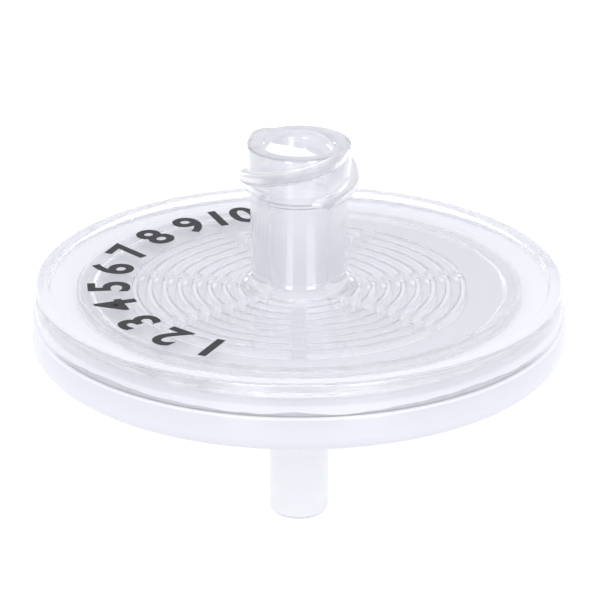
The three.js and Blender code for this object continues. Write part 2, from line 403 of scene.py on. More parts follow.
class Tree:
    """A node tree under construction: adds nodes, sets their inputs, and links them."""

    def __init__(self, tree):
        self.tree = tree

    def add(self, kind, inputs=None, **settings):
        node = self.tree.nodes.new(kind)
        for key, value in settings.items():
            setattr(node, key, value)
        for key, value in (inputs or {}).items():
            self.set(node, key, value)
        return node

    def set(self, node, key, value):
        """Sets an input to a plain value, or links it to another node's output."""
        socket = node.inputs[key]
        if isinstance(value, bpy.types.NodeSocket):
            self.tree.links.new(value, socket)
        else:
            socket.default_value = value

    def math(self, operation, a, b=0.0, c=0.0):
        return self.add("ShaderNodeMath", {0: a, 1: b, 2: c}, operation=operation).outputs[0]

    def vector(self, x=0.0, y=0.0, z=0.0):
        return self.add("ShaderNodeCombineXYZ", {0: x, 1: y, 2: z}).outputs[0]

    def ramp(self, value, low, high, to_low=0.0, to_high=1.0):
        """Goes smoothly from one number to another as a value goes from low to high."""
        return self.add("ShaderNodeMapRange", {
            "Value": value, "From Min": low, "From Max": high,
            "To Min": to_low, "To Max": to_high,
        }, interpolation_type="SMOOTHSTEP").outputs[0]

    def near(self, value, goal, inner, outer):
        """1 where a value is within inner of its goal, falling to 0 at outer."""
        off = self.math("ABSOLUTE", self.math("SUBTRACT", value, goal))
        return self.ramp(off, inner, outer, 1.0, 0.0)

    def place(self):
        """A shaded point in its piece's own coordinates."""
        return self.add("ShaderNodeTexCoord").outputs["Object"]

    def along(self, axis):
        """How far a shaded point lies along X, Y or Z."""
        return self.add("ShaderNodeSeparateXYZ", {0: self.place()}).outputs[axis]

    def radius(self):
        """How far a shaded point lies from the Z axis."""
        flat = self.add("ShaderNodeVectorMath", {
            0: self.place(), 1: (1, 1, 0),
        }, operation="MULTIPLY").outputs[0]
        return self.add("ShaderNodeVectorMath", {0: flat}, operation="LENGTH").outputs["Value"]

    def noise(self, per_mm, detail):
        """Noise of so many features to a millimetre."""
        in_mm = self.add("ShaderNodeVectorMath", {
            0: self.place(), "Scale": 1 / MM,
        }, operation="SCALE")
        return self.add("ShaderNodeTexNoise", {
            "Vector": in_mm.outputs[0], "Scale": per_mm, "Detail": detail,
        }).outputs[0]

    def tinted(self, colour, tints):
        """Lays the colour of each (mask, colour) pair over a first colour, in turn."""
        for mask, tint in tints:
            colour = self.add("ShaderNodeMix", {
                "Factor": mask, "A": colour, "B": tint,
            }, data_type="RGBA").outputs["Result"]
        return colour

    def shown_as(self, shader):
        """Makes a shader the surface of this tree's material."""
        self.set(self.add("ShaderNodeOutputMaterial"), "Surface", shader)


def geometry_tree(name, inputs):
    """A Geometry Nodes tree with the named inputs, given as {name: (socket type, default)}."""
    tree = bpy.data.node_groups.new(name, "GeometryNodeTree")
    for label, (kind, value) in inputs.items():
        socket = tree.interface.new_socket(label, in_out="INPUT", socket_type=kind)
        if value is not None:
            socket.default_value = value
    tree.interface.new_socket("Geometry", in_out="OUTPUT", socket_type="NodeSocketGeometry")
    build = Tree(tree)
    return build, build.add("NodeGroupInput").outputs, build.add("NodeGroupOutput")


def values_group(name, inputs, outputs):
    """A shader node group with named inputs, given as {name: default}, and named outputs."""
    tree = bpy.data.node_groups.new(name, "ShaderNodeTree")
    for label, value in inputs.items():
        socket = tree.interface.new_socket(label, in_out="INPUT", socket_type="NodeSocketFloat")
        socket.default_value = value
    for label in outputs:
        tree.interface.new_socket(label, in_out="OUTPUT", socket_type="NodeSocketFloat")
    build = Tree(tree)
    return build, build.add("NodeGroupInput").outputs, build.add("NodeGroupOutput")


# Kinds of named input. Lengths and angles are both plain numbers to the nodes.
LENGTH = ANGLE = "NodeSocketFloat"
NUMBER = "NodeSocketInt"


# ---------------------------------------------------------------- geometry trees

def ridge_section(build, half_root, half_crest, root, crest, rounding, steps):
    """The section of a rib or a thread: wide at its root, narrow at its crest, and rounded."""
    section = build.add("GeometryNodeCurvePrimitiveQuadrilateral", {
        "Point 1": build.vector(build.math("MULTIPLY", half_root, -1.0), root),
        "Point 2": build.vector(half_root, root),
        "Point 3": build.vector(half_crest, crest),
        "Point 4": build.vector(build.math("MULTIPLY", half_crest, -1.0), crest),
    }, mode="POINTS")
    return build.add("GeometryNodeFilletCurve", {
        "Curve": section.outputs[0], "Radius": rounding, "Count": steps,
    }, mode="POLY").outputs[0]


def turned_copies(build, shape, count, first_angle):
    """Copies of a shape, turned evenly about Z."""
    spots = build.add("GeometryNodeMeshLine", {"Count": count, "Offset": (0, 0, 0)})
    index = build.add("GeometryNodeInputIndex").outputs[0]
    step = build.math("DIVIDE", 2 * math.pi, count)
    turn = build.math("MULTIPLY_ADD", index, step, first_angle)
    copies = build.add("GeometryNodeInstanceOnPoints", {
        "Points": spots.outputs["Mesh"],
        "Instance": shape,
        "Rotation": build.vector(0.0, 0.0, turn),
    })
    return build.add("GeometryNodeRealizeInstances", {"Geometry": copies.outputs[0]}).outputs[0]


def rib_tree():
    """Concentric ribs of one section, cut through by evenly turned radial channels."""
    build, given, shown = geometry_tree("concentric_ribs", {
        "First Radius": (LENGTH, FIRST_RIB_RADIUS),
        "Pitch": (LENGTH, RIB_PITCH),
        "Count": (NUMBER, RIB_COUNT),
        "Root Width": (LENGTH, RIB_WIDTH),
        "Crest Width": (LENGTH, RIB_WIDTH - 2 * RIB_DRAFT),
        "Root Height": (LENGTH, 0.0),
        "Crest Height": (LENGTH, INLET_RIB_HEIGHT),
        "Crest Rounding": (LENGTH, EDGE),
        "Channel Count": (NUMBER, CHANNEL_COUNT),
        "Channel Width": (LENGTH, CHANNEL_WIDTH),
        "First Angle": (ANGLE, math.radians(FRONT_ANGLE)),
    })
    # One circle for each rib: copies of a circle of radius 1, scaled to the rib's own radius.
    circle = build.add("GeometryNodeCurvePrimitiveCircle", {"Resolution": SEGMENTS, "Radius": 1.0})
    row = build.add("GeometryNodeMeshLine", {"Count": given["Count"], "Offset": (0, 0, 0)})
    index = build.add("GeometryNodeInputIndex").outputs[0]
    radius = build.math("MULTIPLY_ADD", index, given["Pitch"], given["First Radius"])
    circles = build.add("GeometryNodeInstanceOnPoints", {
        "Points": row.outputs["Mesh"],
        "Instance": circle.outputs["Curve"],
        "Scale": build.vector(radius, radius, 1.0),
    })
    circles = build.add("GeometryNodeRealizeInstances", {"Geometry": circles.outputs[0]})
    # A section's second axis points down once it is laid round a circle.
    root, crest = given["Root Height"], given["Crest Height"]
    section = ridge_section(
        build,
        build.math("MULTIPLY", given["Root Width"], 0.5),
        build.math("MULTIPLY", given["Crest Width"], 0.5),
        build.math("MULTIPLY", root, -1.0),
        build.math("MULTIPLY", crest, -1.0),
        given["Crest Rounding"],
        RIB_ROUNDING_STEPS,
    )
    rings = build.add("GeometryNodeCurveToMesh", {
        "Curve": circles.outputs[0], "Profile Curve": section,
    })
    # Ribs that stand up instead of hanging down come out inside out, so those are turned.
    stands = build.math("GREATER_THAN", crest, root)
    rings = build.add("GeometryNodeFlipFaces", {"Mesh": rings.outputs[0], "Selection": stands})
    # The channels: bars with one end on the axis, turned evenly.
    last = build.math("SUBTRACT", given["Count"], 1.0)
    reach = build.math("MULTIPLY_ADD", last, given["Pitch"], given["First Radius"])
    reach = build.math("ADD", reach, given["Pitch"])
    tall = build.math("ABSOLUTE", build.math("SUBTRACT", root, crest))
    bar = build.add("GeometryNodeMeshCube", {
        "Size": build.vector(reach, given["Channel Width"], build.math("MULTIPLY", tall, 2.0)),
    })
    middle = build.math("MULTIPLY", build.math("ADD", root, crest), 0.5)
    bar = build.add("GeometryNodeTransform", {
        "Geometry": bar.outputs["Mesh"],
        "Translation": build.vector(build.math("MULTIPLY", reach, 0.5), 0.0, middle),
    })
    bars = turned_copies(build, bar.outputs[0], given["Channel Count"], given["First Angle"])
    cut = build.add("GeometryNodeMeshBoolean", {
        "Mesh 1": rings.outputs[0], "Mesh 2": bars,
    }, operation="DIFFERENCE", solver="MANIFOLD")
    build.set(shown, 0, cut.outputs["Mesh"])
    return build.tree


def thread_tree():
    """A ridge of one section, drawn straight and wound up round a core, once for each start.

    It grows out of the core over the run in, and sinks back into it over the run out.
    """
    build, given, shown = geometry_tree("luer_thread", {
        "Starts": (NUMBER, THREAD_STARTS),
        "Lead": (LENGTH, THREAD_LEAD),
        "Turn": (ANGLE, math.radians(THREAD_TURN)),
        "First Angle": (ANGLE, math.radians(THREAD_FIRST_ANGLE)),
        "Foot Height": (LENGTH, HEAD_FOOT_Z),
        "Top Height": (LENGTH, MOUTH_Z),
        "Core Radius": (LENGTH, HEAD_RADIUS),
        "Height": (LENGTH, THREAD_HEIGHT),
        "Base Width": (LENGTH, THREAD_BASE_WIDTH),
        "Crest Width": (LENGTH, THREAD_CREST_WIDTH),
        "Crest Rounding": (LENGTH, THREAD_ROUNDING),
        "Ledge": (LENGTH, THREAD_LEDGE),
        "Run In": (ANGLE, math.radians(THREAD_RUN_IN)),
        "Run Out": (ANGLE, math.radians(THREAD_RUN_OUT)),
    })
    # The straight ridge: one radian of turn is one metre long, and the section stands on the core.
    line = build.add("GeometryNodeCurvePrimitiveLine", {"End": build.vector(given["Turn"])})
    line = build.add("GeometryNodeResampleCurve", {"Curve": line.outputs[0], "Count": SEGMENTS})
    half_crest = build.math("MULTIPLY", given["Crest Width"], 0.5)
    spread = build.math("SUBTRACT", given["Base Width"], given["Crest Width"])
    spread = build.math("MULTIPLY", spread, 0.5)
    slope = build.math("DIVIDE", spread, given["Height"])
    half_root = build.math("MULTIPLY_ADD", slope, BITE, build.math("ADD", half_crest, spread))
    section = ridge_section(
        build,
        half_root,
        half_crest,
        -BITE,
        given["Height"],
        given["Crest Rounding"],
        THREAD_ROUNDING_STEPS,
    )
    ridge = build.add("GeometryNodeCurveToMesh", {
        "Curve": line.outputs[0], "Profile Curve": section, "Fill Caps": True,
    })
    # Winding it: along the line is the turn, across it the height, and away from it the radius.
    position = build.add("GeometryNodeInputPosition").outputs[0]
    spot = build.add("ShaderNodeSeparateXYZ", {0: position}).outputs
    past = spot["X"]
    out = build.math("MULTIPLY", spot["Z"], -1.0)
    left = build.math("SUBTRACT", given["Turn"], past)
    grown = build.math(
        "MULTIPLY",
        build.ramp(past, 0.0, given["Run In"]),
        build.ramp(left, 0.0, given["Run Out"]),
    )
    raised = build.math("MULTIPLY", build.math("ADD", out, THREAD_SINK), grown)
    raised = build.math("SUBTRACT", raised, THREAD_SINK)
    stands = build.math("GREATER_THAN", out, 0.0)
    out = build.add("ShaderNodeMix", {"Factor": stands, "A": out, "B": raised}).outputs[0]
    radius = build.math("ADD", given["Core Radius"], out)
    rise = build.math("MULTIPLY", build.math("DIVIDE", past, 2 * math.pi), given["Lead"])
    height = build.math("ADD", build.math("ADD", rise, given["Foot Height"]), spot["Y"])
    wound = build.add("GeometryNodeSetPosition", {
        "Geometry": ridge.outputs[0],
        "Position": build.vector(
            build.math("MULTIPLY", radius, build.math("COSINE", past)),
            build.math("MULTIPLY", radius, build.math("SINE", past)),
            height,
        ),
    })
    starts = turned_copies(build, wound.outputs[0], given["Starts"], given["First Angle"])
    # A sleeve cuts the ridges off level, just above the foot of the head and at the mouth.
    bottom = build.math("ADD", given["Foot Height"], given["Ledge"])
    tall = build.math("SUBTRACT", given["Top Height"], bottom)
    sleeve = build.add("GeometryNodeMeshCylinder", {
        "Vertices": SEGMENTS,
        "Radius": build.math("MULTIPLY", given["Core Radius"], 2.0),
        "Depth": tall,
    })
    sleeve = build.add("GeometryNodeTransform", {
        "Geometry": sleeve.outputs["Mesh"],
        "Translation": build.vector(0.0, 0.0, build.math("MULTIPLY_ADD", tall, 0.5, bottom)),
    })
    cut = build.add("GeometryNodeMeshBoolean", operation="INTERSECT", solver="MANIFOLD")
    for shape in (starts, sleeve.outputs[0]):
        build.set(cut, "Mesh 2", shape)
    build.set(shown, 0, cut.outputs["Mesh"])
    return build.tree


def moulded_half_tree(name, features):
    """A turned body with features, such as ribs and a thread, joined on as one closed skin."""
    build, given, shown = geometry_tree(name, {
        "Geometry": ("NodeSocketGeometry", None),
        "Rib Root Height": (LENGTH, 0.0),
        "Rib Crest Height": (LENGTH, 0.0),
        "Material": ("NodeSocketMaterial", None),
    })
    whole = build.add("GeometryNodeMeshBoolean", operation="UNION", solver="MANIFOLD")
    build.set(whole, "Mesh 2", given["Geometry"])
    for feature in features:
        group = build.add("GeometryNodeGroup", node_tree=feature)
        if "Root Height" in group.inputs:
            build.set(group, "Root Height", given["Rib Root Height"])
            build.set(group, "Crest Height", given["Rib Crest Height"])
        build.set(whole, "Mesh 2", group.outputs[0])
    whole = build.add("GeometryNodeRealizeInstances", {"Geometry": whole.outputs["Mesh"]})
    whole = build.add("GeometryNodeSetMaterial", {
        "Geometry": whole.outputs[0], "Material": given["Material"],
    })
    build.set(shown, 0, whole.outputs[0])
    return build.tree


def made_by(tree, piece, values):
    """Runs a tree on a piece, keeps the result as the piece's plain mesh, and drops the modifier."""
    modifier = piece.modifiers.new(tree.name, "NODES")
    modifier.node_group = tree
    for socket in tree.interface.items_tree:
        if socket.in_out == "INPUT" and socket.name in values:
            modifier[socket.identifier] = values[socket.name]
    depsgraph = bpy.context.evaluated_depsgraph_get()
    result = bpy.data.meshes.new_from_object(piece.evaluated_get(depsgraph))
    piece.modifiers.clear()
    piece.data = result
    smoothed(result)


# ---------------------------------------------------------------- pieces

def inlet_outline():
    """Clear half, from the mouth outwards, down the rim and back under the plate."""
    return rounded([
        (MOUTH_RADIUS, MOUTH_Z, MOUTH_ROUNDING),
        (HEAD_RADIUS, MOUTH_Z, SOFT_EDGE),
        (HEAD_RADIUS, HEAD_FOOT_Z, SOFT_EDGE),
        (STEM_RADIUS, HEAD_FOOT_Z, EDGE / 2),
        (STEM_RADIUS, PLATE_TOP_Z, STEM_FOOT_ROUNDING),
        (BAND_INNER_RADIUS - BAND_DEPTH, PLATE_TOP_Z, EDGE),
        (BAND_INNER_RADIUS, BAND_Z, EDGE),
        (RIM_INNER_RADIUS, BAND_Z, SOFT_EDGE),
        (RIM_INNER_RADIUS, RIM_TOP_Z, SOFT_EDGE),
        (RIM_RADIUS, RIM_TOP_Z, 2 * SOFT_EDGE),
        (RIM_RADIUS, SEAM_Z, SOFT_EDGE),
        (POCKET_RADIUS, SEAM_Z, 0),
        (POCKET_RADIUS, MEMBRANE_TOP_Z, EDGE),
        (CHAMBER_RADIUS, MEMBRANE_TOP_Z, EDGE),
        (CHAMBER_RADIUS, CEILING_Z, CHAMBER_ROUNDING),
        (FUNNEL_RADIUS, CEILING_Z, SOFT_EDGE),
        (INLET_BORE_RADIUS, CEILING_Z + FUNNEL_RADIUS - INLET_BORE_RADIUS, SOFT_EDGE),
        (INLET_BORE_RADIUS, MOUTH_Z - SOCKET_DEPTH, SOFT_EDGE),
        (SOCKET_END_RADIUS, MOUTH_Z - SOCKET_DEPTH, SOFT_EDGE),
    ])


def outlet_outline():
    """Milky half, from the drain outwards, down the skirt, back under the floor and down the slip."""
    return rounded([
        (FUNNEL_RADIUS, DRAIN_Z, SOFT_EDGE),
        (CHAMBER_RADIUS, DRAIN_Z, EDGE),
        (CHAMBER_RADIUS, SEAT_Z, EDGE),
        (MEMBRANE_RADIUS, SEAT_Z, EDGE),
        (MEMBRANE_RADIUS, SEAM_Z + WELD_DEPTH, 0),
        (WELD_RADIUS, SEAM_Z + WELD_DEPTH, 0),
        (WELD_RADIUS, SEAM_Z, 0),
        (SKIRT_RADIUS, SEAM_Z, SOFT_EDGE),
        (SKIRT_RADIUS, SKIRT_FOOT_Z, SKIRT_ROUNDING),
        (SKIRT_RADIUS - SKIRT_WALL, SKIRT_FOOT_Z, SOFT_EDGE),
        (SKIRT_RADIUS - SKIRT_WALL, UNDERSIDE_Z, SOFT_EDGE),
        (OUTLET_ROOT_RADIUS, UNDERSIDE_Z, OUTLET_FOOT_ROUNDING),
        (OUTLET_TIP_RADIUS, TIP_Z, OUTLET_TIP_ROUNDING),
        (OUTLET_BORE_RADIUS, TIP_Z, EDGE),
        (OUTLET_BORE_RADIUS, DRAIN_Z - FUNNEL_RADIUS + OUTLET_BORE_RADIUS, SOFT_EDGE),
    ])


def worn_between(mesh, material, low, high, radius):
    """Gives every face between two heights, and within a radius, a second material."""
    mesh.materials.append(material)
    for face in mesh.polygons:
        if low < face.center.z < high and face.center.to_2d().length < radius:
            face.material_index = 1


def inlet_housing(tree, material, thick_material):
    """Clear half, with the look of thick plastic from its stem up."""
    piece = placed("clear_inlet_half", revolved("clear_inlet_half", inlet_outline()))
    made_by(tree, piece, {
        "Rib Root Height": CEILING_Z + BITE,
        "Rib Crest Height": CEILING_Z - INLET_RIB_HEIGHT,
        "Material": material,
    })
    low = PLATE_TOP_Z + STEM_FOOT_ROUNDING / 2
    worn_between(piece.data, thick_material, low, MOUTH_Z + MM, 2 * HEAD_RADIUS)
    finish_piece(piece, "inlet_housing")


def outlet_housing(tree, material, thin_and_lit_material):
    """Milky half, with the look of thin plastic on its slip, painted lighter there."""
    piece = placed("milky_outlet_half", revolved("milky_outlet_half", outlet_outline()))
    wandering_weld(piece.data)
    made_by(tree, piece, {
        "Rib Root Height": DRAIN_Z - BITE,
        "Rib Crest Height": SEAT_Z,
        "Material": material,
    })
    high = UNDERSIDE_Z - OUTLET_FOOT_ROUNDING / 2
    worn_between(piece.data, thin_and_lit_material, TIP_Z - MM, high, 2 * OUTLET_ROOT_RADIUS)
    finish_piece(piece, "outlet_housing")


def wandering_weld(mesh):
    """The weld's outer edge wanders in and out a little on its way round."""
    for vertex in mesh.vertices:
        flat = vertex.co.to_2d()
        if abs(flat.length - WELD_RADIUS) > SAME_PLACE:
            continue
        turn = math.atan2(flat.y, flat.x)
        wander = sum(size * math.sin(count * turn + start) for count, size, start in WELD_WAVES)
        vertex.co.x, vertex.co.y = flat * (1 + WELD_WANDER * wander / WELD_RADIUS)


def weld_height(turn):
    """How high the melt rises at an angle from the front: least there, but for a small tongue."""
    waves = sum(size * math.cos(count * turn + start) for count, size, start in BEAD_WAVES)
    tongue = BEAD_TONGUE * math.exp(-(turn / BEAD_TONGUE_WIDTH) ** 2)
    return BEAD_HEIGHT + waves + tongue


def weld_bead(material):
    """Plastic that melted together in the weld, painted grey as the seam's shade seen through the
    clear wall.
    """
    outer = RIM_RADIUS - BEAD_COVER
    top = SEAM_Z + BEAD_HEIGHT
    outline = rounded([
        (outer - BEAD_WIDTH, SEAM_Z + WELD_DEPTH + HAIR, 0),
        (outer, SEAM_Z + WELD_DEPTH + HAIR, 0),
        (outer, top, 0),
        (outer - BEAD_WIDTH, top, 0),
    ])
    piece = placed("weld_bead", revolved("weld_bead", outline, 2 * SEGMENTS))
    for vertex in piece.data.vertices:
        turn = math.atan2(vertex.co.x, -vertex.co.y)
        grown = (vertex.co.z - SEAM_Z) / BEAD_HEIGHT
        vertex.co.z = SEAM_Z + grown * weld_height(turn)
    piece.data.materials.append(material)
    smoothed(piece.data)
    finish_piece(piece)


def membrane(material):
    """A thin disc, a hair clear of what pinches it, so that the faces don't fight."""
    outline = rounded([
        (0, SEAT_Z + HAIR, 0),
        (MEMBRANE_RADIUS - HAIR, SEAT_Z + HAIR, HAIR),
        (MEMBRANE_RADIUS - HAIR, MEMBRANE_TOP_Z - HAIR, HAIR),
        (0, MEMBRANE_TOP_Z - HAIR, 0),
    ])
    piece = placed("filter_disc", revolved("filter_disc", outline))
    piece.data.materials.append(material)
    smoothed(piece.data)
    finish_piece(piece, "membrane")


def printed_number(number, angle):
    """One number as a flat mesh, its top pointing away from the axis."""
    letter = bpy.data.curves.new("number", "FONT")
    letter.body = str(number)
    letter.align_x = "CENTER"
    letter.align_y = "CENTER"
    letter.size = DIGIT_HEIGHT / CAPITAL_SHARE
    letter.offset = DIGIT_WEIGHT
    letter.extrude = INK_THICKNESS / 2
    letter.resolution_u = DIGIT_ARC_STEPS
    holder = placed("number", letter)
    depsgraph = bpy.context.evaluated_depsgraph_get()
    mesh = bpy.data.meshes.new_from_object(holder.evaluated_get(depsgraph))
    bpy.data.objects.remove(holder)
    turn = Matrix.Rotation(math.radians(angle) - math.pi / 2, 4, "Z")
    spot = Matrix.Translation((0, PRINT_RADIUS, PLATE_TOP_Z + INK_GAP + INK_THICKNESS / 2))
    mesh.transform(turn @ spot)
    return mesh


def printed_numbers(material):
    """The numbers side by side along their arc, as one piece."""
    merged = bmesh.new()
    step = (PRINT_END - PRINT_START) / (len(NUMBERS) - 1)
    for i, number in enumerate(NUMBERS):
        merged.from_mesh(printed_number(number, FRONT_ANGLE + PRINT_START + step * i))
    bmesh.ops.remove_doubles(merged, verts=merged.verts, dist=SAME_PLACE)
    bmesh.ops.recalc_face_normals(merged, faces=merged.faces)
    mesh = bpy.data.meshes.new("printed_numbers")
    merged.to_mesh(mesh)
    merged.free()
    mesh.materials.clear()
    mesh.materials.append(material)
    finish_piece(placed("printed_numbers", mesh))


def finish_piece(piece, node=None):
    """Sets what a piece rides on, and hides the node that it stands for."""
    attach(piece, "root")
    if node:
        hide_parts(node)


# ---------------------------------------------------------------- materials

def new_material(name):
    """A material without nodes, and the tree to build it in."""
    made = bpy.data.materials.new(name)
    made.use_nodes = True
    made.node_tree.nodes.clear()
    return made, Tree(made.node_tree)


def moulding_group():
    """Marks that any moulded plastic has: slow waviness, fine flow lines and a faint mottle."""
    build, given, shown = values_group(
        "moulding_marks", {"Wave Size": WAVE_SIZE, "Flow Size": FLOW_SIZE}, ("Height", "Mottle")
    )
    wave = build.noise(build.math("DIVIDE", 1.0, given["Wave Size"]), 1.0)
    flow = build.noise(build.math("DIVIDE", 1.0, given["Flow Size"]), 3.0)
    build.set(shown, "Height", build.math("MULTIPLY_ADD", flow, FLOW_SHARE, wave))
    build.set(shown, "Mottle", build.ramp(flow, *MOTTLE_RANGE))
    return build.tree


def lets_light_in(build, surface, shade):
    """Lamps and soft light reach what is behind the plastic without being bent."""
    path = build.add("ShaderNodeLightPath").outputs
    clear = build.add("ShaderNodeBsdfTransparent", {"Color": shade}).outputs[0]
    for kind in ("Is Diffuse Ray", "Is Shadow Ray"):
        surface = build.add("ShaderNodeMixShader", {0: path[kind], 1: surface, 2: clear}).outputs[0]
    return surface


def clear_plastic(name, marks, tint, clarity, haze, coat):
    """Clear plastic. Less clarity and more haze make it look thicker."""
    made, build = new_material(name)
    mark = build.add("ShaderNodeGroup", node_tree=marks).outputs
    radius = build.radius()
    height = build.along("Z")
    # The core pin leaves the bore matt, and the flow of the weld leaves the rim hazy and uneven.
    deep = build.ramp(height, -CORE_DEPTH - MM, -CORE_DEPTH, CORE_ROUGHNESS, haze)
    core = build.ramp(radius, MOUTH_RADIUS, MOUTH_RADIUS + CORE_FADE, deep, haze)
    rim = build.ramp(radius, *RIM_HAZE_RADII)
    rough = build.math("MULTIPLY_ADD", rim, RIM_HAZE, core)
    step = build.near(radius, BAND_INNER_RADIUS - BAND_DEPTH / 2, BAND_DEPTH / 2, BAND_DEPTH)
    rough = build.math("MULTIPLY_ADD", step, STEP_HAZE, rough)
    # The thread looks thicker and duller than the rest: it is hazier, and tinted darker as painted
    # shade.
    above = build.math("GREATER_THAN", height, HEAD_FOOT_Z)
    thread = build.ramp(radius, HEAD_RADIUS, HEAD_RADIUS + THREAD_HEIGHT)
    thread = build.math("MULTIPLY", above, thread)
    rough = build.math("MULTIPLY_ADD", thread, THREAD_HAZE, rough)
    # Painted shade: dark lines on the edge of the mouth and in the corner under the head.
    edge = build.math(
        "MULTIPLY",
        build.ramp(height, MOUTH_Z - SOFT_EDGE, MOUTH_Z - SOFT_EDGE / 2),
        build.ramp(radius, HEAD_RADIUS - SOFT_EDGE, HEAD_RADIUS - SOFT_EDGE / 2),
    )
    corner = build.near(height, HEAD_FOOT_Z, CORNER_LINE / 2, CORNER_LINE)
    waviness = build.math("MULTIPLY_ADD", rim, RIM_WAVINESS, PLATE_WAVINESS)
    bump = build.add("ShaderNodeBump", {
        "Height": build.math("MULTIPLY", mark["Height"], waviness), "Distance": CLEAR_BUMP,
    })
    skin = build.add("ShaderNodeBsdfPrincipled", {
        "Base Color": build.tinted(tint, (
            (thread, THREAD_SHADE), (edge, MOUTH_EDGE_SHADE), (corner, CORNER_SHADE),
        )),
        "Roughness": build.math("MULTIPLY_ADD", mark["Mottle"], CLEAR_MOTTLE, rough),
        "IOR": PLASTIC_IOR,
        "Transmission Weight": clarity,
        "Coat Weight": build.math("MULTIPLY", build.math("SUBTRACT", 1.0, thread), coat),
        "Coat Roughness": COAT_ROUGHNESS,
        "Coat IOR": PLASTIC_IOR,
        "Normal": bump.outputs[0],
    })
    build.shown_as(lets_light_in(build, skin.outputs[0], CLEAR_SHADE))
    return made


def milky_plastic(name, marks, light, deep, clarity, haze):
    """Milky plastic. More clarity suits where it's thin, and a lighter tint there is painted light.
    """
    made, build = new_material(name)
    mark = build.add("ShaderNodeGroup", node_tree=marks).outputs
    radius = build.radius()
    height = build.along("Z")
    # Painted shade: the skirt hangs free and lets some of its light out at the back, so it is tinted
    # darker than the rest, most of all at its foot.
    skirt = build.ramp(radius, SKIRT_RADIUS - SKIRT_WALL, SKIRT_RADIUS - SKIRT_WALL / 2)
    foot = build.ramp(height, SKIRT_FOOT_Z, SKIRT_FOOT_Z + SKIRT_ROUNDING, 1.0, 0.0)
    foot = build.math("MULTIPLY", skirt, foot)
    # A painted highlight along the ledge under the seam, and painted light on the top face above it.
    ledge = build.ramp(height, SEAM_Z - LEDGE_LINE, SEAM_Z - LEDGE_LINE / 2)
    # Painted shade: a dark line on the rounding of the outlet's tip.
    tip_inside = OUTLET_TIP_RADIUS - OUTLET_TIP_ROUNDING
    tip = build.math(
        "MULTIPLY",
        build.ramp(height, TIP_Z + TIP_LINE / 5, TIP_Z + TIP_LINE, 1.0, 0.0),
        build.ramp(radius, tip_inside, tip_inside + TIP_LINE / 4),
    )
    bump = build.add("ShaderNodeBump", {"Height": mark["Height"], "Distance": MILKY_BUMP})
    skin = build.add("ShaderNodeBsdfPrincipled", {
        "Base Color": build.tinted(light, (
            (mark["Mottle"], deep), (skirt, SKIRT_SHADE), (foot, SKIRT_FOOT_SHADE),
            (ledge, LEDGE_HIGHLIGHT), (tip, TIP_SHADE),
        )),
        "Roughness": build.math("MULTIPLY_ADD", mark["Mottle"], MILKY_MOTTLE, haze),
        "IOR": PLASTIC_IOR,
        "Transmission Weight": clarity,
        "Normal": bump.outputs[0],
    })
    build.shown_as(lets_light_in(build, skin.outputs[0], MILKY_SHADE))
    return made


def weld_melt():
    """The melt, painted as the seam's shade: darkest just over the seam, and paler and blotchy above.
    """
    made, build = new_material("weld_melt")
    blotches = build.ramp(build.noise(BLOTCHES_PER_MM, 3.0), *BLOTCH_RANGE, LEAST_PALE, 1.0)
    above = build.ramp(build.along("Z"), MELT_DARK_Z, MELT_PALE_Z)
    # Its inner face and its ends, which a slanting look through the wall meets, are as the skirt.
    outer = RIM_RADIUS - BEAD_COVER
    inside = build.ramp(build.radius(), outer - BEAD_WIDTH / 2, outer - BEAD_WIDTH / 4, 1.0, 0.0)
    sides = build.ramp(build.math("ABSOLUTE", build.along("X")), *MELT_SIDES)
    skin = build.add("ShaderNodeBsdfPrincipled", {
        "Base Color": build.tinted(MELT_SHADE_DARK, (
            (build.math("MULTIPLY", above, blotches), MELT_SHADE_PALE),
            (build.math("MAXIMUM", inside, sides), SKIRT_LIGHT),
        )),
        "Roughness": MELT_ROUGHNESS,
    })
    build.shown_as(skin.outputs[0])
    return made


